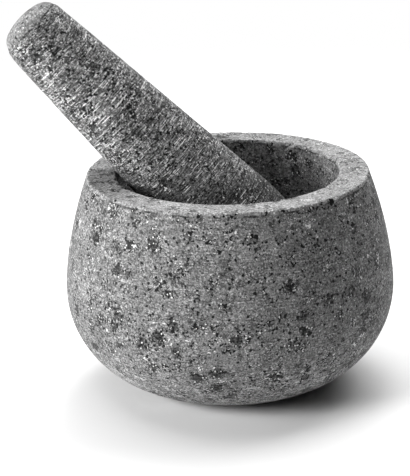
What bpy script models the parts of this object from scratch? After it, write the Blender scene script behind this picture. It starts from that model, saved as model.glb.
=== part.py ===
"""Granite mortar with its pestle resting in it.

Both pieces are turned from solid stone. The pestle leans across the bowl: its shaft lies on the inner edge of
the rim, and its rounded grinding end rests low on the opposite wall.

Metres, +Z up. The origin is the centre of the mortar's flat base. +X is to the right and -Y faces the viewer.
"""

import math

import bpy

# Mortar, outside
MORTAR_HEIGHT = 0.0928
BELLY_RADIUS = 0.0700
BELLY_HEIGHT = 0.0431
RIM_OUTER_RADIUS = 0.0598
SHOULDER_CURVE = 1.70  # exponent: how late the wall turns in above the belly
BASE_RADIUS = 0.0260

# Mortar, inside
RIM_INNER_RADIUS = 0.0469
FLOOR_THICKNESS = 0.0180
BOWL_FULLNESS = 2.5  # superellipse exponent: 2 is an ellipse, more is squarer
RIM_OUTER_ROUNDING = 0.0010
RIM_INNER_ROUNDING = 0.0010

# Pestle
PESTLE_LENGTH = 0.1711  # from the top of its rounded edge to the tip
PESTLE_TOP_RADIUS = 0.0142  # of the taper, carried up to the top face
PESTLE_TAPER = 0.0683  # gain in radius for each metre along the shaft
PESTLE_TOP_ROUNDING = 0.0086
PESTLE_TOP_SLOPE = math.radians(15.7)  # of the domed top face, where it meets the rounded edge
GRINDING_END_LENGTH = 0.0527

# How the pestle rests. The gap to the rim and to the bowl's wall is 0.3 mm.
PESTLE_TILT = math.radians(44.3)  # from upright
PESTLE_HEADING = math.radians(-5.4)  # of the lean about +Z, from -X
PESTLE_CROSSING_HEIGHT = 0.0721  # where the shaft's axis meets the bowl's axis
PESTLE_TOP_ABOVE_CROSSING = 0.1212  # along the shaft's axis

# Facets
MORTAR_FACETS = 64
PESTLE_FACETS = 48
MERGE_DISTANCE = 0.00001


def clear_scene():
    for thing in list(bpy.data.objects):
        bpy.data.objects.remove(thing, do_unlink=True)


def make_collection(name):
    collection = bpy.data.collections.new(name)
    bpy.context.scene.collection.children.link(collection)
    return collection


def make_stone(name, colour, roughness):
    """An opaque, non-metallic stone of one colour."""
    material = bpy.data.materials.new(name)
    material.use_nodes = True
    shader = material.node_tree.nodes["Principled BSDF"]
    shader.inputs["Base Color"].default_value = (*colour, 1.0)
    shader.inputs["Roughness"].default_value = roughness
    shader.inputs["Metallic"].default_value = 0.0
    return material


def arc(centre, radius, start, end, steps):
    """Points on a circular arc in the profile's plane, as (radius from the axis, height)."""
    points = []
    for i in range(steps + 1):
        angle = start + (end - start) * i / steps
        points.append((centre[0] + radius * math.cos(angle), centre[1] + radius * math.sin(angle)))
    return points


def bowl_wall(steps=13):
    """The inside of the bowl, from the middle of its floor up to where the rim's rounding starts."""
    top = MORTAR_HEIGHT - RIM_INNER_ROUNDING
    depth = top - FLOOR_THICKNESS
    points = []
    for i in range(steps + 1):
        angle = math.pi / 2 * (1 - i / steps)
        radius = RIM_INNER_RADIUS * math.cos(angle) ** (2 / BOWL_FULLNESS)
        points.append((radius, top - depth * math.sin(angle) ** (2 / BOWL_FULLNESS)))
    points[0] = (0.0, FLOOR_THICKNESS)
    return points


def rim():
    """The flat rim with its two rounded edges, from the inner edge to the outer one."""
    inner = (RIM_INNER_RADIUS + RIM_INNER_ROUNDING, MORTAR_HEIGHT - RIM_INNER_ROUNDING)
    outer = (RIM_OUTER_RADIUS - RIM_OUTER_ROUNDING, MORTAR_HEIGHT - RIM_OUTER_ROUNDING)
    return arc(inner, RIM_INNER_ROUNDING, math.pi, math.pi / 2, 4)[1:] + arc(
        outer, RIM_OUTER_ROUNDING, math.pi / 2, 0.0, 3
    )


def shoulder(steps=8):
    """The outside from just under the rim down to the belly."""
    drop = MORTAR_HEIGHT - RIM_OUTER_ROUNDING - BELLY_HEIGHT
    points = []
    for i in range(1, steps + 1):
        height = 1 - i / steps
        radius = BELLY_RADIUS - (BELLY_RADIUS - RIM_OUTER_RADIUS) * height**SHOULDER_CURVE
        points.append((radius, BELLY_HEIGHT + drop * height))
    return points


def underside(steps=11):
    """The outside from the belly down to the edge of the flat base, a quarter of an ellipse."""
    points = []
    for i in range(1, steps + 1):
        angle = math.pi / 2 * i / steps
        radius = BASE_RADIUS + (BELLY_RADIUS - BASE_RADIUS) * math.cos(angle)
        points.append((radius, BELLY_HEIGHT * (1 - math.sin(angle))))
    return points


def mortar_profile():
    return bowl_wall() + rim() + shoulder() + underside() + [(0.0, 0.0)]


def pestle_radius(along):
    """Radius of the pestle, at a distance down its axis from the top face."""
    taper = PESTLE_TOP_RADIUS + PESTLE_TAPER * along
    into_end = along - (PESTLE_LENGTH - GRINDING_END_LENGTH)
    if into_end <= 0:
        return taper
    return taper * math.sqrt(max(0.0, 1 - (into_end / GRINDING_END_LENGTH) ** 2))


def pestle_profile(face_steps=3, edge_steps=3, shaft_steps=4, end_steps=12):
    """Half of the pestle's outline, from the middle of its top face down to its tip. Height 0 is the crossing."""
    rounding = PESTLE_TOP_ROUNDING
    taper_angle = math.atan(PESTLE_TAPER)
    edge_centre = pestle_radius(rounding) - rounding / math.cos(taper_angle)
    edge = arc((edge_centre, -rounding), rounding, math.pi / 2 - PESTLE_TOP_SLOPE, taper_angle, edge_steps)
    face_radius = edge[0][0] / math.sin(PESTLE_TOP_SLOPE)
    face_centre = edge[0][1] - face_radius * math.cos(PESTLE_TOP_SLOPE)
    points = [(0.0, face_centre + face_radius)]
    points += arc((0.0, face_centre), face_radius, math.pi / 2, math.pi / 2 - PESTLE_TOP_SLOPE, face_steps)[1:-1]
    points += edge
    shaft_end = PESTLE_LENGTH - GRINDING_END_LENGTH
    stations = []
    for i in range(1, shaft_steps + 1):
        stations.append(rounding + (shaft_end - rounding) * i / shaft_steps)
    for i in range(1, end_steps):
        stations.append(shaft_end + GRINDING_END_LENGTH * math.sin(math.pi / 2 * i / end_steps))
    points += [(pestle_radius(along), -along) for along in stations]
    points.append((0.0, -PESTLE_LENGTH))
    return [(radius, PESTLE_TOP_ABOVE_CROSSING + height) for radius, height in points]


def turned_piece(name, profile, facets, material, collection):
    """A solid of revolution about the object's own Z axis."""
    mesh = bpy.data.meshes.new(name)
    points = [(radius, 0.0, height) for radius, height in profile]
    edges = [(i, i + 1) for i in range(len(points) - 1)]
    mesh.from_pydata(points, edges, [])
    mesh.materials.append(material)
    piece = bpy.data.objects.new(name, mesh)
    collection.objects.link(piece)
    turn = piece.modifiers.new("turn", "SCREW")
    turn.axis = "Z"
    turn.angle = math.tau
    turn.steps = facets
    turn.render_steps = facets
    turn.use_merge_vertices = True
    turn.merge_threshold = MERGE_DISTANCE
    turn.use_smooth_shade = True
    return piece


def build():
    clear_scene()
    collection = make_collection("mortar_and_pestle")
    turned_piece(
        "mortar",
        mortar_profile(),
        MORTAR_FACETS,
        make_stone("mortar_granite", (0.15, 0.15, 0.15), 0.75),
        collection,
    )
    pestle = turned_piece(
        "pestle",
        pestle_profile(),
        PESTLE_FACETS,
        make_stone("pestle_granite", (0.13, 0.13, 0.13), 0.80),
        collection,
    )
    pestle.location = (0.0, 0.0, PESTLE_CROSSING_HEIGHT)
    pestle.rotation_euler = (0.0, -PESTLE_TILT, PESTLE_HEADING)


build()
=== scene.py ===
"""The looks of the granite mortar and pestle: two finely modelled stones in place of the plain CAD solids.

Everything is in metres in the CAD frame: +Z up, origin at the centre of the mortar's flat base, and -Y
towards the viewer.
"""

import math
import random
from collections import namedtuple

import bpy
import numpy as np
from mathutils import Euler, Matrix, Vector, noise


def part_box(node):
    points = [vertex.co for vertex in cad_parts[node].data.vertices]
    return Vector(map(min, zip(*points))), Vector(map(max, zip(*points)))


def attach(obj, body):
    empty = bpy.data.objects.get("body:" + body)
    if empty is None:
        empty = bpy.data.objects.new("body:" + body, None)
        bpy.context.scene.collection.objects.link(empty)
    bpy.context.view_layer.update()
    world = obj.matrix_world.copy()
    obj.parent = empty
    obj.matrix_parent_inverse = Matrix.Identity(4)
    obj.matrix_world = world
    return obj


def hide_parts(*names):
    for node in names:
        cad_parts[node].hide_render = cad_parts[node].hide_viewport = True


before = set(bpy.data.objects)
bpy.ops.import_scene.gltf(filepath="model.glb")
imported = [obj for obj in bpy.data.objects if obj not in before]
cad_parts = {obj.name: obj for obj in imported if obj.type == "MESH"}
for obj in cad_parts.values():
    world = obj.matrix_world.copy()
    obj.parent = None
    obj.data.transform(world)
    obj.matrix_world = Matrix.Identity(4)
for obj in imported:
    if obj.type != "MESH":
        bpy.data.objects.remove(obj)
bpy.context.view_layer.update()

MM = 0.001

# Sizes read from the CAD frame
MORTAR_LOW, MORTAR_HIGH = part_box("mortar")
MORTAR_HEIGHT = MORTAR_HIGH.z
BELLY_RADIUS = (MORTAR_HIGH.x - MORTAR_LOW.x) / 2

# Mortar, as the CAD has it
BELLY_HEIGHT = 43.1 * MM
RIM_OUTER_RADIUS = 59.8 * MM
RIM_INNER_RADIUS = 46.9 * MM
RIM_OUTER_ROUNDING = 1.0 * MM
RIM_INNER_ROUNDING = 1.0 * MM
SHOULDER_CURVE = 1.70
BASE_RADIUS = 26.0 * MM
FLOOR_THICKNESS = 18.0 * MM
BOWL_FULLNESS = 2.5

# Pestle, as the CAD has it
PESTLE_LENGTH = 171.1 * MM
PESTLE_TOP_RADIUS = 14.2 * MM
PESTLE_TAPER = 0.0683
PESTLE_TOP_ROUNDING = 8.6 * MM
PESTLE_TOP_SLOPE = math.radians(15.7)
GRINDING_END_LENGTH = 52.7 * MM
PESTLE_TILT = math.radians(44.3)
PESTLE_HEADING = math.radians(-5.4)
PESTLE_CROSSING_HEIGHT = 72.1 * MM
PESTLE_TOP_ABOVE_CROSSING = 121.2 * MM

PESTLE_TURN = Euler((0.0, -PESTLE_TILT, PESTLE_HEADING))
PESTLE_AXIS = PESTLE_TURN.to_matrix() @ Vector((0.0, 0.0, 1.0))
PESTLE_CROSSING = Vector((0.0, 0.0, PESTLE_CROSSING_HEIGHT))
PESTLE_TOP = PESTLE_CROSSING + PESTLE_TOP_ABOVE_CROSSING * PESTLE_AXIS
PESTLE_PLACE = Matrix.Translation(PESTLE_TOP) @ PESTLE_TURN.to_matrix().to_4x4()

# Fineness of the stones' meshes: segments round each stone, and points along its outline
MORTAR_SEGMENTS = 512
BOWL_POINTS = 64
RIM_POINTS = 44
SHOULDER_POINTS = 43
UNDERSIDE_POINTS = 48
PESTLE_SEGMENTS = 256
PESTLE_POINTS = 380


# ---------------------------------------------------------------- turned shapes


def spaced(points, count):
    """A polyline's points again, count of them, evenly spaced along it."""
    points = np.array(points)
    steps = np.linalg.norm(np.diff(points, axis=0), axis=1)
    along = np.concatenate([[0.0], np.cumsum(steps)])
    wanted = np.linspace(0.0, along[-1], count)
    return np.stack([np.interp(wanted, along, points[:, i]) for i in (0, 1)], axis=1)


def arc(centre, radius, start, end, steps=24):
    angles = np.linspace(start, end, steps + 1)
    return np.stack([centre[0] + radius * np.cos(angles), centre[1] + radius * np.sin(angles)], axis=1)


def bowl_outline():
    """The inside, from the middle of the bowl's floor up to where the rim's rounding starts."""
    top = MORTAR_HEIGHT - RIM_INNER_ROUNDING
    turn = np.linspace(math.pi / 2, 0.0, 400)
    power = 2 / BOWL_FULLNESS
    radius = RIM_INNER_RADIUS * np.clip(np.cos(turn), 0, 1) ** power
    height = top - (top - FLOOR_THICKNESS) * np.clip(np.sin(turn), 0, 1) ** power
    radius[0] = 0.0
    return np.stack([radius, height], axis=1)


def rim_outline():
    """The flat rim with its two rounded edges, from the inside out."""
    inner = (RIM_INNER_RADIUS + RIM_INNER_ROUNDING, MORTAR_HEIGHT - RIM_INNER_ROUNDING)
    outer = (RIM_OUTER_RADIUS - RIM_OUTER_ROUNDING, MORTAR_HEIGHT - RIM_OUTER_ROUNDING)
    inner_edge = arc(inner, RIM_INNER_ROUNDING, math.pi, math.pi / 2)
    outer_edge = arc(outer, RIM_OUTER_ROUNDING, math.pi / 2, 0.0)
    return np.concatenate([inner_edge, outer_edge])


def shoulder_outline():
    """The outside from just under the rim down to the belly."""
    rise = np.linspace(1.0, 0.0, 200)[1:]
    radius = BELLY_RADIUS - (BELLY_RADIUS - RIM_OUTER_RADIUS) * rise**SHOULDER_CURVE
    height = BELLY_HEIGHT + (MORTAR_HEIGHT - RIM_OUTER_ROUNDING - BELLY_HEIGHT) * rise
    return np.stack([radius, height], axis=1)


def underside_outline():
    """The outside from the belly down to the edge of the flat base, and along the base to its middle."""
    turn = np.linspace(0.0, math.pi / 2, 200)[1:]
    radius = BASE_RADIUS + (BELLY_RADIUS - BASE_RADIUS) * np.cos(turn)
    height = BELLY_HEIGHT * (1 - np.sin(turn))
    base = [(BASE_RADIUS * 0.5, 0.0), (0.0, 0.0)]
    return np.concatenate([np.stack([radius, height], axis=1), base])


def mortar_outline():
    """(radius, height) points from the middle of the bowl's floor to the middle of the base."""
    return np.concatenate(
        [
            spaced(bowl_outline(), BOWL_POINTS),
            spaced(rim_outline(), RIM_POINTS)[1:],
            spaced(shoulder_outline(), SHOULDER_POINTS)[1:],
            spaced(underside_outline(), UNDERSIDE_POINTS),
        ]
    )


def pestle_radius(along):
    """Radius of the pestle, at a distance down its axis from the top of its rounded edge."""
    taper = PESTLE_TOP_RADIUS + PESTLE_TAPER * along
    into_end = np.clip((along - PESTLE_LENGTH) / GRINDING_END_LENGTH + 1, 0, 1)
    return taper * np.sqrt(1 - into_end**2)


def pestle_outline():
    """(radius, height) points from the middle of the domed top face to the tip. The edge's top is at 0."""
    lean = math.atan(PESTLE_TAPER)
    edge_centre = pestle_radius(PESTLE_TOP_ROUNDING) - PESTLE_TOP_ROUNDING / math.cos(lean)
    edge_start = math.pi / 2 - PESTLE_TOP_SLOPE
    edge = arc((edge_centre, -PESTLE_TOP_ROUNDING), PESTLE_TOP_ROUNDING, edge_start, lean)
    face_radius = edge[0, 0] / math.sin(PESTLE_TOP_SLOPE)
    face_centre = edge[0, 1] - face_radius * math.cos(PESTLE_TOP_SLOPE)
    face = arc((0.0, face_centre), face_radius, math.pi / 2, edge_start)[:-1]
    face[0, 0] = 0.0
    shaft_end = PESTLE_LENGTH - GRINDING_END_LENGTH
    shaft = np.linspace(-edge[-1, 1], shaft_end, 50)[1:]
    end = shaft_end + GRINDING_END_LENGTH * np.sin(np.linspace(0.0, math.pi / 2, 160)[1:])
    along = np.concatenate([shaft, end])
    side = np.stack([pestle_radius(along), -along], axis=1)
    side[-1, 0] = 0.0
    return spaced(np.concatenate([face, edge, side]), PESTLE_POINTS)


def turned_points(outline, segments):
    """The points of a body of revolution and the directions out of it, one ring after another."""
    angles = np.linspace(0.0, math.tau, segments, endpoint=False)
    tangent = np.gradient(outline, axis=0)
    outward = np.stack([-tangent[:, 1], tangent[:, 0]], axis=1)
    outward /= np.linalg.norm(outward, axis=1, keepdims=True)
    points = [Vector((0.0, 0.0, outline[0, 1]))]
    normals = [Vector((0.0, 0.0, 1.0))]
    for (radius, height), (out, up) in zip(outline[1:-1], outward[1:-1]):
        for angle in angles:
            c, s = math.cos(angle), math.sin(angle)
            points.append(Vector((radius * c, radius * s, height)))
            normals.append(Vector((out * c, out * s, up)))
    points.append(Vector((0.0, 0.0, outline[-1, 1])))
    normals.append(Vector((0.0, 0.0, -1.0)))
    return points, normals


def turned_faces(rings, segments):
    """Faces over the rings of turned_points, with a fan of triangles at either end."""
    last = 1 + rings * segments
    foot = last - segments
    faces = []
    for i in range(segments):
        j = (i + 1) % segments
        faces.append((0, 1 + i, 1 + j))
        faces.append((last, foot + j, foot + i))
    for ring in range(rings - 1):
        upper = 1 + ring * segments
        lower = upper + segments
        for i in range(segments):
            j = (i + 1) % segments
            faces.append((upper + i, lower + i, lower + j, upper + j))
    return faces


def turned_mesh(name, outline, segments, place, shape_point):
    """A closed body of revolution. shape_point(point, outward) moves each point of the stone a little."""
    points, normals = turned_points(outline, segments)
    moved = [place @ shape_point(point, outward) for point, outward in zip(points, normals)]
    mesh = bpy.data.meshes.new(name)
    mesh.from_pydata(moved, [], turned_faces(len(outline) - 2, segments))
    mesh.shade_smooth()
    piece = bpy.data.objects.new(name, mesh)
    bpy.context.scene.collection.objects.link(piece)
    return piece


# ---------------------------------------------------------------- wear and tool marks in the mesh


def bumps(point, across, up=None, offset=(0.0, 0.0, 0.0)):
    """Smooth noise from 0 to 1. It swells across times in a metre across the stone, and up times along it."""
    scaled = Vector((point.x * across, point.y * across, point.z * (up or across)))
    return 0.5 + 0.5 * noise.noise(scaled + Vector(offset))


def scoops(seed, count, place_one):
    """Small spheres taken out of a surface, as (centre, radius)."""
    draw = random.Random(seed)
    return [place_one(draw) for _ in range(count)]


def scooped(point, hollows):
    """The point, moved out to the surface of any hollow that it lies in."""
    for centre, radius in hollows:
        offset = point - centre
        if abs(offset.z) < radius and offset.length < radius:
            point = centre + offset.normalized() * radius
    return point


def round_axis(angle, radius, height):
    """A place at an angle round the upright axis."""
    return Vector((radius * math.cos(angle), radius * math.sin(angle), height))


OUTER_CHIP_SHARE = 0.6
RIM_CHIP_DROP = 0.3 * MM  # from the rim's top to where a chip is judged
OUTER_CHIP_RADIUS = RIM_OUTER_RADIUS - 0.3 * MM
INNER_CHIP_RADIUS = RIM_INNER_RADIUS + 0.6 * MM


def rim_chip(draw):
    """A chip out of the outer or the inner edge of the rim."""
    angle = draw.uniform(0, math.tau)
    size = draw.uniform(1.2, 3.4) * MM
    depth = draw.uniform(0.15, 0.40) * size
    if draw.random() < OUTER_CHIP_SHARE:
        edge = OUTER_CHIP_RADIUS
        lean = math.radians(draw.uniform(25, 65))
    else:
        edge = INNER_CHIP_RADIUS
        lean = math.radians(draw.uniform(115, 155))
    out = edge + (size - depth) * math.cos(lean)
    up = MORTAR_HEIGHT - RIM_CHIP_DROP + (size - depth) * math.sin(lean)
    return round_axis(angle, out, up), size


HOLLOW_LEAN = math.radians(40)


def rim_hollow(angle, cut, size):
    """One wide shallow hollow broken out of the rim's inner edge, cut deep."""
    out = RIM_INNER_RADIUS - (size - cut) * math.cos(HOLLOW_LEAN)
    up = MORTAR_HEIGHT + (size - cut) * math.sin(HOLLOW_LEAN)
    return round_axis(angle, out, up), size


def sorted_by_angle(hollows, sectors):
    """The hollows near each sector of the turn, so that a point tests only its neighbours."""
    lists = [[] for _ in range(sectors)]
    for centre, radius in hollows:
        middle = sector_of(centre, sectors)
        for step in (-1, 0, 1):
            lists[(middle + step) % sectors].append((centre, radius))
    return lists


def sector_of(point, sectors):
    return int((math.atan2(point.y, point.x) / math.tau) % 1.0 * sectors)


RIM_SECTORS = 36
RIM_HOLLOWS = [
    rim_hollow(math.radians(15), cut=2.0 * MM, size=6.0 * MM),
    rim_hollow(math.radians(44), cut=1.0 * MM, size=6.0 * MM),
    rim_hollow(math.radians(68), cut=0.9 * MM, size=4.0 * MM),
]
RIM_CHIPS = sorted_by_angle(scoops(7, 60, rim_chip) + RIM_HOLLOWS, RIM_SECTORS)
RIM_CHIP_REACH = 4 * MM

# The pestle's smooth cap ends in a worn groove with chips along it. Heights are from the top of its edge.
CAP_EDGE = -5.2 * MM
CAP_EDGE_RADIUS = 14.1 * MM
CAP_GROOVE_DEPTH = 0.35
CAP_GROOVE_WIDTH = 0.5 * MM


def cap_chip(draw):
    """A chip beside the groove round the pestle's cap."""
    angle = draw.uniform(0, math.tau)
    size = draw.uniform(0.7, 1.6) * MM
    along = CAP_EDGE - draw.uniform(-0.2, 1.0) * MM
    out = CAP_EDGE_RADIUS + size - draw.uniform(0.15, 0.45) * size
    return round_axis(angle, out, along + 0.6 * size), size


CAP_CHIPS = scoops(11, 34, cap_chip)
CAP_CHIP_REACH = 4 * MM


def shape_mortar(point, outward):
    """Slow waviness from hand finishing, faint turning rings and chipped rim edges. Every move is inward."""
    on_outside = outward.z < 0.2
    below_belly = min(1.0, max(0.0, (BELLY_HEIGHT - point.z) / BELLY_HEIGHT)) if on_outside else 0.0
    wave = 0.16 * bumps(point, 55.0)
    rings = (0.03 + 0.10 * below_belly) * bumps(point, 12.0, up=900.0)
    grain = 0.07 * bumps(point, 420.0)
    on_base = point.z < 0.2 * MM
    if not on_base:
        point = point - outward * (wave + rings + grain) * MM
    if point.z > MORTAR_HEIGHT - RIM_CHIP_REACH:
        point = scooped(point, RIM_CHIPS[sector_of(point, RIM_SECTORS)])
    return point


def cap_wear(point):
    """How many millimetres the top's edge is worn by, most on the side that faces down."""
    height = max(0.0, 1.0 - abs(point.z + 4.0 * MM) / (9.0 * MM))
    side = max(0.0, -point.x / PESTLE_TOP_RADIUS)
    return 0.8 * (height * side) ** 1.5


def cap_groove(point):
    """How many millimetres deep the patchy groove round the cap is."""
    patchy = 0.4 + 0.6 * max(0.0, noise.noise(point * 260.0) + 0.4)
    return CAP_GROOVE_DEPTH * math.exp(-(((point.z - CAP_EDGE) / CAP_GROOVE_WIDTH) ** 2)) * patchy


def shape_pestle(point, outward):
    """Waviness, rings of coarse turning marks, a grainy surface and a worn cap. Every move is inward."""
    wave = 0.16 * bumps(point, 60.0, offset=(3.0, 1.0, 7.0))
    rings = 0.10 * bumps(point, 30.0, up=1100.0)
    grain = 0.08 * bumps(point, 520.0)
    point = point - outward * (wave + rings + grain + cap_wear(point) + cap_groove(point)) * MM
    if abs(point.z - CAP_EDGE) < CAP_CHIP_REACH:
        point = scooped(point, CAP_CHIPS)
    return point


# ---------------------------------------------------------------- node trees


Crystals = namedtuple("Crystals", "random place distance")


class Nodes:
    """Short ways to build a material's node tree."""

    def __init__(self, material):
        material.use_nodes = True
        self.tree = material.node_tree
        self.tree.nodes.clear()

    def add(self, kind, inputs=None, **settings):
        node = self.tree.nodes.new(kind)
        for key, value in settings.items():
            setattr(node, key, value)
        for key, value in (inputs or {}).items():
            self.put(node.inputs[key], value)
        return node

    def put(self, socket, value):
        if isinstance(value, bpy.types.NodeSocket):
            self.tree.links.new(value, socket)
        else:
            socket.default_value = value

    def maths(self, operation, *values):
        node = self.add("ShaderNodeMath", operation=operation)
        for socket, value in zip(node.inputs, values):
            self.put(socket, value)
        return node.outputs[0]

    def times(self, value, factor):
        return self.maths("MULTIPLY", value, factor)

    def minus(self, value, other):
        return self.maths("SUBTRACT", value, other)

    def plus(self, value, addend, gain):
        """value + gain * addend"""
        return self.maths("MULTIPLY_ADD", addend, gain, value)

    def vector_maths(self, operation, *values, output="Vector"):
        node = self.add("ShaderNodeVectorMath", operation=operation)
        for socket, value in zip(node.inputs, values):
            self.put(socket, value)
        return node.outputs[output]

    def scaled(self, vector, scale):
        return self.vector_maths("MULTIPLY", vector, (scale,) * 3)

    def added(self, vector, other):
        return self.vector_maths("ADD", vector, other)

    def length(self, vector):
        return self.vector_maths("LENGTH", vector, output="Value")

    def height(self, vector):
        return self.add("ShaderNodeSeparateXYZ", {"Vector": vector}).outputs["Z"]

    def noise(self, vector, size, detail=2.0, roughness=0.5, output="Fac"):
        """Smooth noise from 0 to 1 with features about size metres across."""
        node = self.add("ShaderNodeTexNoise", {"Vector": vector, "Scale": 1 / size})
        node.inputs["Detail"].default_value = detail
        node.inputs["Roughness"].default_value = roughness
        return node.outputs[output]

    def crystals(self, vector, size):
        """A mosaic of crystals: each one's three random numbers, its middle and the distance from that."""
        node = self.add("ShaderNodeTexVoronoi", {"Vector": vector, "Scale": 1 / size})
        pick = self.add("ShaderNodeSeparateColor", {"Color": node.outputs["Color"]})
        return Crystals(tuple(pick.outputs), node.outputs["Position"], node.outputs["Distance"])

    def ramp(self, value, low, high, to_low=0.0, to_high=1.0):
        """A smooth step from to_low, where value is low or less, to to_high."""
        node = self.add("ShaderNodeMapRange", {"Value": value}, interpolation_type="SMOOTHSTEP")
        node.inputs["From Min"].default_value = low
        node.inputs["From Max"].default_value = high
        node.inputs["To Min"].default_value = to_low
        node.inputs["To Max"].default_value = to_high
        return node.outputs["Result"]

    def mixed(self, factor, a, b):
        """a where factor is 0 and b where it is 1."""
        node = self.add("ShaderNodeMix", data_type="FLOAT")
        self.put(node.inputs["Factor"], factor)
        self.put(node.inputs["A"], a)
        self.put(node.inputs["B"], b)
        return node.outputs["Result"]

    def finish(self, shader):
        self.add("ShaderNodeOutputMaterial", {"Surface": shader})


# ---------------------------------------------------------------- granite

# The mosaics of crystals, and how far their outlines stray
SMALL_CRYSTAL = 0.55 * MM
SMALL_FRAY = 0.7 * MM
LARGE_CRYSTAL = 0.95 * MM
LARGE_FRAY = 0.5 * MM
CLOUD_SIZE = 12 * MM

# Turning marks
STROKE_WIDTH = 0.42 * MM
STROKE_SHRINK = 0.22  # how much shorter a stone's girth is taken to be, which draws the strokes out round it
SCRATCH_WIDTH = 0.50 * MM
SCRATCH_SHRINK = 0.05
COARSE_DEPTH = 25 * MM  # how far down the turning marks go on getting deeper
COARSE_MARKING = 3.2

# Patches of mica and clusters of quartz: (spacing, smallest radius, largest radius)
MICA_PATCHES = (7.8 * MM, 0.7 * MM, 3.0 * MM)
MICA_SPOTS = (3.3 * MM, 0.2 * MM, 1.2 * MM)
QUARTZ_CLUSTERS = (11.0 * MM, 0.4 * MM, 1.8 * MM)
PATCH_FRAY = 1.8 * MM
PATCH_SOFTNESS = 0.2 * MM
PATCH_SURROUNDINGS = 1.6 * MM

# Reflectance of the black grains, of the white ones as a multiple of the stone's, and of the palest stone
BLACK = 0.010
WHITE_GAIN = 3.2
DARKEST = 0.004
PALEST = 0.80

# Heights of the relief
CRYSTAL_RELIEF = 0.04 * MM
PLUCKED_RELIEF = -0.30 * MM
STROKE_RELIEF = 0.06 * MM
ROUGH_RELIEF = 0.20 * MM

Stone = namedtuple(
    "Stone",
    [
        "tone",  # the middle reflectance
        "mottle",  # contrast from crystal to crystal
        "mica",  # darkness of the mica patches
        "grains",  # share of the large crystals that are black
        "quartz",  # share of the small crystals that are white, in clusters of them
        "strokes",  # contrast of the short turning marks
        "scratches",  # contrast of the long turning marks
        "coarse_below",  # height under which the turning marks are deeper
        "coarse_gain",  # how much paler the stone is there, partly as real rougher stone and partly as painted bounce light from the floor
        "girth",  # radius of the stone where its turning marks are judged
        "flare",  # 1 for a stone with level faces and 0 for a plain bar
        "stain_top",  # height over the table under which painted shade (the bowl's shadow) darkens the stone
        "stain_depth",  # how far below that the painted shade is at its darkest
        "stain",  # and what part of the stone's tone the painted shade leaves there
        "polished",  # height above which the stone is smooth
        "polished_gain",  # how much paler it is there
        "polished_mottle",  # and how much of its contrast is left
        "chipping",  # darkness of the broken line of chips just under the smooth part
    ],
)

# The sockets that the granite's parts share. place is the stone's own coordinates and upright the same places
# seen along its axis, height is along that axis, polish is 1 where the stone is smooth, and marking is the
# strength of the turning marks.
Surface = namedtuple("Surface", "place upright height small large polish marking")


def ragged_places(n, place, size, amount):
    """Places pushed about by a fine noise, so that crystals get ragged outlines."""
    push = n.noise(place, size, detail=1.0, output="Color")
    push = n.scaled(n.added(push, (-0.5, -0.5, -0.5)), amount)
    return n.added(place, push)


def patches(n, place, layout, fray):
    """Round patches, laid out as (spacing, smallest radius, largest radius). fray moves their edges about.

    Returns the distance beyond the edge of the nearest patch, below zero inside it, and the patch's number.
    """
    spacing, smallest, largest = layout
    patch = n.crystals(place, spacing)
    radius = n.maths("MULTIPLY_ADD", patch.random[0], largest - smallest, smallest)
    away = n.plus(fray, patch.distance, spacing)
    return n.minus(away, radius), patch.random[1]


def inside(n, beyond):
    """1 inside a patch and 0 outside it."""
    return n.ramp(beyond, -PATCH_SOFTNESS, PATCH_SOFTNESS, 1.0, 0.0)


def turned_places(n, surface, girth, flare):
    """Places on a stone turned to one girth all over, so that marks seen there run round the real stone.

    flare is 1 for a stone with level faces, so that its marks are told apart by radius too.
    """
    flat = n.vector_maths("MULTIPLY", surface.upright, (1.0, 1.0, 0.0))
    along = n.plus(surface.height, n.length(flat), flare)
    lift = n.add("ShaderNodeCombineXYZ", {"Z": along}).outputs["Vector"]
    return n.added(n.scaled(n.vector_maths("NORMALIZE", flat), girth), lift)


def read_surface(n, stone, origin, turn):
    """The surface's shared sockets, for a stone whose axis passes through origin, turned from upright."""
    place = n.add("ShaderNodeTexCoord").outputs["Object"]
    from_origin = n.added(place, tuple(-c for c in origin))
    rotate = n.add("ShaderNodeVectorRotate", {"Vector": from_origin}, rotation_type="EULER_XYZ", invert=True)
    rotate.inputs["Rotation"].default_value = turn
    upright = rotate.outputs["Vector"]
    height = n.height(upright)
    small = n.crystals(ragged_places(n, place, 0.9 * MM, SMALL_FRAY), SMALL_CRYSTAL)
    large = n.crystals(ragged_places(n, place, 1.1 * MM, LARGE_FRAY), LARGE_CRYSTAL)

    ragged_height = n.plus(height, n.noise(place, 2.0 * MM), 2.0 * MM)
    ragged_height = n.plus(ragged_height, small.random[2], 0.6 * MM)
    polish = n.ramp(ragged_height, stone.polished + 1.0 * MM, stone.polished + 1.6 * MM)

    coarse = n.ramp(height, stone.coarse_below - COARSE_DEPTH, stone.coarse_below, COARSE_MARKING, 1.0)
    marking = n.times(coarse, n.ramp(polish, 0, 1, 1.0, 0.1))
    return Surface(place, upright, height, small, large, polish, marking)


def mosaic(n, stone, surface):
    """Shade of the matrix of feldspar and quartz, with darker crystals and clouds in it."""
    shade = n.times(n.minus(surface.small.random[1], 0.5), 0.9)
    shade = n.plus(shade, n.maths("POWER", surface.small.random[0], 3.0), -1.0)
    fine = n.minus(n.noise(surface.place, 0.75 * MM, detail=3.0, roughness=0.7), 0.5)
    shade = n.plus(shade, fine, 2.8)
    busy = n.noise(n.added(surface.place, (0.4, 0.1, 0.2)), 7.0 * MM, detail=1.0)
    shade = n.times(shade, n.times(n.ramp(busy, 0.3, 0.7, 0.8, 1.2), stone.mottle))
    shade = n.times(shade, n.mixed(surface.polish, 1.0, stone.polished_mottle))
    cloud = n.minus(n.noise(surface.place, CLOUD_SIZE, detail=3.0), 0.5)
    return n.plus(shade, cloud, 0.9 * stone.mottle)


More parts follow.
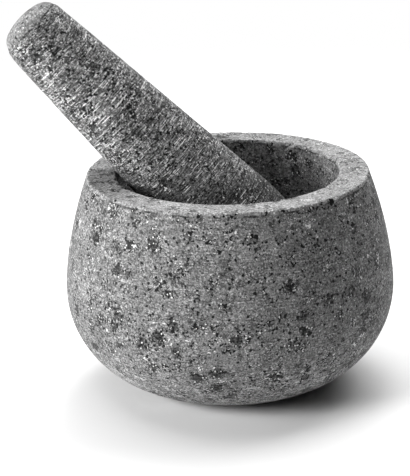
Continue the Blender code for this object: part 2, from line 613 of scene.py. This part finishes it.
def strokes(n, stone, surface):
    """Short turning marks: a random number for each and its shade, with a few very dark dashes."""
    around = turned_places(n, surface, STROKE_SHRINK * stone.girth, stone.flare)
    stroke = n.crystals(ragged_places(n, around, 0.9 * MM, 0.08 * MM), STROKE_WIDTH)
    dash = n.maths("GREATER_THAN", stroke.random[1], 0.94)
    return stroke.random[0], n.plus(n.minus(stroke.random[0], 0.5), dash, -1.3)


def scratches(n, stone, surface):
    """Shade of the long turning marks, pale and dark, which come and go."""
    around = turned_places(n, surface, SCRATCH_SHRINK * stone.girth, stone.flare)
    line = n.noise(around, SCRATCH_WIDTH, detail=1.0)
    broken = n.noise(n.added(surface.place, (0.05, 0.02, 0.07)), 4.0 * MM, detail=2.0)
    broken = n.ramp(broken, 0.42, 0.56)
    light = n.times(n.ramp(line, 0.61, 0.69), broken)
    dark = n.times(n.ramp(line, 0.30, 0.38, 1.0, 0.0), n.ramp(broken, 0.0, 1.0, 1.0, 0.3))
    return n.minus(light, n.times(dark, 0.8))


def mica(n, stone, surface, fray):
    """Darkness of the loose patches of mica, and how near the larger ones are."""
    middle = surface.small.place
    beyond, number = patches(n, middle, MICA_PATCHES, fray)
    patch = n.times(inside(n, beyond), n.ramp(number, 0, 1, 0.5, 1.3))
    beyond_spot, spot_number = patches(n, n.added(middle, (0.5, 0.3, 0.7)), MICA_SPOTS, fray)
    spot = n.times(inside(n, beyond_spot), spot_number)
    dark = n.times(n.maths("MAXIMUM", patch, spot), n.mixed(surface.polish, 1.0, stone.polished_mottle))
    return dark, n.ramp(beyond, 0.0, PATCH_SURROUNDINGS, 1.0, 0.0)


def chips(n, stone, surface):
    """1 in the broken line of chips just under the polished part, and 0 away from it."""
    ragged_height = n.plus(surface.height, n.noise(surface.place, 3.0 * MM), 1.0 * MM)
    away = n.maths("ABSOLUTE", n.minus(n.minus(ragged_height, stone.polished), 0.5 * MM))
    line = n.ramp(away, 0.20 * MM, 0.50 * MM, 1.0, 0.0)
    broken = n.noise(n.added(surface.place, (0.3, 0.6, 0.1)), 5.0 * MM, detail=2.0)
    return n.times(line, n.ramp(broken, 0.42, 0.56))


def crack(n, place, middle, across, half_length):
    """1 in a hairline crack and 0 away from it. It wanders by a millimetre or so."""
    offset = n.added(place, tuple(-c for c in middle))
    side = n.vector_maths("DOT_PRODUCT", offset, across, output="Value")
    side = n.plus(side, n.minus(n.noise(place, 3.0 * MM, detail=3.0), 0.5), 3.0 * MM)
    width = n.ramp(n.noise(place, 1.5 * MM), 0.3, 0.7, 0.1 * MM, 0.7 * MM)
    line = n.maths("LESS_THAN", n.maths("ABSOLUTE", side), width)
    return n.times(line, n.ramp(n.length(offset), 0.8 * half_length, half_length, 1.0, 0.0))


def broad_tone(n, stone, surface):
    """The reflectance before crystals and marks: smooth parts are pale, the foot is pale partly as real
    rougher stone and partly as painted bounce light from the floor, and below about the mortar's rim height
    the stone is darker as painted shade of the bowl.
    """
    tone = n.mixed(surface.polish, stone.tone, stone.polished_gain * stone.tone)
    foot_start = stone.coarse_below - COARSE_DEPTH
    # Paler foot: partly real rougher stone, partly painted bounce light from the floor
    tone = n.times(tone, n.ramp(surface.height, foot_start, stone.coarse_below, stone.coarse_gain, 1.0))
    # Painted shade: below about the mortar's rim height the stone is darkened, standing in for the bowl's
    # shadow on the pestle's end
    uneven = n.minus(n.noise(surface.place, 6 * MM), 0.5)
    level = n.plus(n.height(surface.place), uneven, 6 * MM)
    painted_shade_full = stone.stain_top - stone.stain_depth
    return n.times(tone, n.ramp(level, painted_shade_full, stone.stain_top, stone.stain, 1.0))


def black_grains(n, stone, surface, near_mica):
    """1 in the single black grains, most of which lie in and near the mica."""
    limit = n.mixed(surface.polish, 1 - stone.grains, 1 - 0.35 * stone.grains)
    return n.maths("GREATER_THAN", surface.large.random[1], n.plus(limit, near_mica, -0.22))


def white_grains(n, stone, surface, near_mica, fray):
    """1 in the single white grains, which lie round the mica and in clusters."""
    middle = n.added(surface.small.place, (0.2, 0.8, 0.1))
    beyond, _ = patches(n, middle, QUARTZ_CLUSTERS, fray)
    cluster = n.ramp(beyond, -PATCH_SOFTNESS, PATCH_SOFTNESS, stone.quartz, 0.0)
    limit = n.minus(0.9975, n.maths("MAXIMUM", n.times(near_mica, 0.035), cluster))
    return n.maths("GREATER_THAN", surface.small.random[2], limit)


def granite(name, stone, origin=(0.0, 0.0, 0.0), turn=(0.0, 0.0, 0.0), cracks=()):
    """Grey granite, turned and worn.

    Heights are measured from origin along the stone's own axis, which turn rotates away from upright. Each
    crack is (middle, direction across it, half its length).
    """
    material = bpy.data.materials.new(name)
    n = Nodes(material)
    surface = read_surface(n, stone, origin, turn)
    fray = n.times(n.minus(surface.large.random[2], 0.5), PATCH_FRAY)
    stroke_number, stroke_shade = strokes(n, stone, surface)
    dark_mica, near_mica = mica(n, stone, surface, fray)

    # The logarithm of the stone's shade
    shade = mosaic(n, stone, surface)
    shade = n.plus(shade, stroke_shade, n.times(surface.marking, stone.strokes))
    shade = n.plus(shade, scratches(n, stone, surface), n.times(surface.marking, stone.scratches))
    shade = n.plus(shade, dark_mica, -stone.mica)
    shade = n.plus(shade, chips(n, stone, surface), -stone.chipping)
    for middle, across, half_length in cracks:
        shade = n.plus(shade, crack(n, surface.place, middle, across, half_length), -1.1)

    black = black_grains(n, stone, surface, near_mica)
    white = white_grains(n, stone, surface, near_mica, fray)
    value = n.times(n.maths("EXPONENT", shade), broad_tone(n, stone, surface))
    value = n.mixed(black, value, BLACK)
    value = n.mixed(white, value, WHITE_GAIN * stone.tone)
    value = n.maths("MINIMUM", n.maths("MAXIMUM", value, DARKEST), PALEST)
    colour = n.add("ShaderNodeCombineColor", {"Red": value, "Green": value, "Blue": value})

    roughness = n.mixed(white, n.ramp(surface.small.random[0], 0, 1, 0.62, 0.85), 0.35)
    roughness = n.mixed(black, roughness, 0.45)

    # Crystals stand proud of each other by a few hundredths of a millimetre, and black grains are plucked out
    relief = n.times(surface.small.random[0], CRYSTAL_RELIEF)
    relief = n.plus(relief, black, PLUCKED_RELIEF)
    relief = n.plus(relief, stroke_number, n.times(surface.marking, STROKE_RELIEF * stone.strokes))
    relief = n.plus(relief, n.noise(surface.place, 1.4 * MM, detail=3.0), ROUGH_RELIEF)
    strength = n.mixed(surface.polish, 0.9, 0.35)
    bump = n.add("ShaderNodeBump", {"Height": relief, "Distance": 1.0, "Strength": strength})

    shader = n.add("ShaderNodeBsdfPrincipled", {"Roughness": roughness, "Normal": bump.outputs["Normal"]})
    shader.inputs["Specular IOR Level"].default_value = 0.12
    n.put(shader.inputs["Base Color"], colour.outputs["Color"])
    n.finish(shader.outputs["BSDF"])
    return material


# ---------------------------------------------------------------- the two stones


MORTAR_STONE = Stone(
    tone=0.218,
    mottle=1.12,
    mica=0.95,
    grains=0.038,
    quartz=0.35,
    strokes=0.30,
    scratches=0.50,
    coarse_below=32 * MM,
    # Paler foot: partly real rougher stone, partly painted bounce light from the floor
    coarse_gain=1.55,
    girth=60 * MM,
    flare=1.0,
    stain_top=0.0,
    stain_depth=10 * MM,
    stain=1.0,
    polished=MORTAR_HEIGHT - 1.7 * MM,
    polished_gain=1.31,
    polished_mottle=0.75,
    chipping=1.1,
)
PESTLE_STONE = Stone(
    tone=0.218,
    mottle=1.45,
    mica=0.55,
    grains=0.060,
    quartz=0.10,
    strokes=1.60,
    scratches=2.00,
    coarse_below=-1.0,
    coarse_gain=1.0,
    girth=17 * MM,
    flare=0.0,
    # Painted shade on the grinding end below the mortar's rim, standing in for the bowl's shadow
    stain_top=MORTAR_HEIGHT + 7 * MM,
    stain_depth=13 * MM,
    stain=0.42,
    polished=PESTLE_TOP_ABOVE_CROSSING + CAP_EDGE,
    polished_gain=1.12,
    polished_mottle=0.70,
    chipping=1.3,
)

# Hairline cracks across the right of the rim
RIM_CRACKS = [
    (Vector((0.0510, 0.0150, MORTAR_HEIGHT)), Vector((-0.45, 0.89, 0.0)), 8 * MM),
    (Vector((0.0545, 0.0120, MORTAR_HEIGHT)), Vector((0.10, 0.99, 0.0)), 5 * MM),
]


def make_mortar():
    stone = turned_mesh("mortar_stone", mortar_outline(), MORTAR_SEGMENTS, Matrix.Identity(4), shape_mortar)
    stone.data.materials.append(granite("granite_mortar", MORTAR_STONE, cracks=RIM_CRACKS))
    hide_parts("mortar")
    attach(stone, "mortar")


def make_pestle():
    stone = turned_mesh("pestle_stone", pestle_outline(), PESTLE_SEGMENTS, PESTLE_PLACE, shape_pestle)
    stone.data.materials.append(granite("granite_pestle", PESTLE_STONE, PESTLE_CROSSING, tuple(PESTLE_TURN)))
    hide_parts("pestle")
    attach(stone, "pestle")


# ---------------------------------------------------------------- studio

FLOOR_REACH = 6.0
FLOOR_TONE = 0.80
# Where the floor starts to fade into the white surroundings, and where it has gone
FLOOR_FADE_START = 0.34
FLOOR_FADE_END = 0.60

# (name, azimuth, elevation, size, brightness) of each lamp. Angles are in degrees, and azimuth 0 stands at the
# viewer's side (-Y) and 90 at the right (+X).
LAMPS = [
    ("key_left", -60, 22, 0.4, 1.09),
    ("key_low", -90, 8, 0.4, 0.60),
    ("back_right", 150, 50, 1.0, 1.34),
    ("back_left", -150, 72, 1.0, 0.88),
]
LAMP_DISTANCE = 1.1
LAMP_TARGET = Vector((0.0, 0.0, 0.06))
FILL = 0.01


def make_floor():
    """A pale floor that fades into the surroundings, away from the mortar."""
    mesh = bpy.data.meshes.new("floor")
    corners = [(x * FLOOR_REACH, y * FLOOR_REACH, 0.0) for x, y in ((-1, -1), (1, -1), (1, 1), (-1, 1))]
    mesh.from_pydata(corners, [], [(0, 1, 2, 3)])
    floor = bpy.data.objects.new("floor", mesh)
    bpy.context.scene.collection.objects.link(floor)
    material = bpy.data.materials.new("paper")
    n = Nodes(material)
    distance = n.length(n.add("ShaderNodeTexCoord").outputs["Object"])
    shader = n.add("ShaderNodeBsdfPrincipled", {"Base Color": (*(FLOOR_TONE,) * 3, 1.0), "Roughness": 0.9})
    shader.inputs["Specular IOR Level"].default_value = 0.1
    faded = n.add("ShaderNodeMixShader", {"Fac": n.ramp(distance, FLOOR_FADE_START, FLOOR_FADE_END)})
    n.put(faded.inputs[1], shader.outputs["BSDF"])
    n.put(faded.inputs[2], n.add("ShaderNodeBsdfTransparent").outputs["BSDF"])
    n.finish(faded.outputs["Shader"])
    mesh.materials.append(material)


def make_softbox(name, azimuth, elevation, size, brightness):
    """A square lamp aimed at the bowl. brightness is the light it gives a facing surface, over pi."""
    a, e = math.radians(azimuth), math.radians(elevation)
    away = Vector((math.sin(a) * math.cos(e), -math.cos(a) * math.cos(e), math.sin(e)))
    lamp = bpy.data.lights.new(name, "AREA")
    lamp.shape = "SQUARE"
    lamp.size = size
    lamp.energy = brightness * math.pi**2 * LAMP_DISTANCE**2
    box = bpy.data.objects.new(name, lamp)
    box.location = LAMP_TARGET + away * LAMP_DISTANCE
    box.rotation_euler = away.to_track_quat("Z", "Y").to_euler()
    bpy.context.scene.collection.objects.link(box)


def make_world():
    """Pale surroundings: white to the eye, and dimmer as a light."""
    world = bpy.data.worlds.new("studio")
    bpy.context.scene.world = world
    n = Nodes(world)
    eye = n.add("ShaderNodeLightPath").outputs["Is Camera Ray"]
    background = n.add("ShaderNodeBackground", {"Strength": n.mixed(eye, FILL, 1.0)})
    background.inputs["Color"].default_value = (1.0, 1.0, 1.0, 1.0)
    n.add("ShaderNodeOutputWorld", {"Surface": background.outputs["Background"]})


CAMERA_EYE = Vector((-0.0328, -0.9425, 0.3780))
CAMERA_AIM = Vector((-0.01022, 0.0, 0.06295))
CAMERA_LENS = 176.5
CAMERA_SENSOR = 36.0
CAMERA_ROLL = math.radians(-1.38)


def make_camera():
    """A long lens from the front, about 19 degrees above the horizon, with a slight roll."""
    camera = bpy.data.cameras.new("camera")
    camera.lens = CAMERA_LENS
    camera.sensor_width = CAMERA_SENSOR
    camera.clip_start, camera.clip_end = 0.05, 50.0
    viewer = bpy.data.objects.new("camera", camera)
    level = (CAMERA_AIM - CAMERA_EYE).to_track_quat("-Z", "Y").to_matrix().to_4x4()
    roll = Matrix.Rotation(CAMERA_ROLL, 4, "Z")
    viewer.matrix_world = Matrix.Translation(CAMERA_EYE) @ level @ roll
    bpy.context.scene.collection.objects.link(viewer)
    bpy.context.scene.camera = viewer


make_mortar()
make_pestle()
make_floor()
for lamp_settings in LAMPS:
    make_softbox(*lamp_settings)
make_world()
make_camera()
bpy.context.scene.view_settings.view_transform = "Standard"
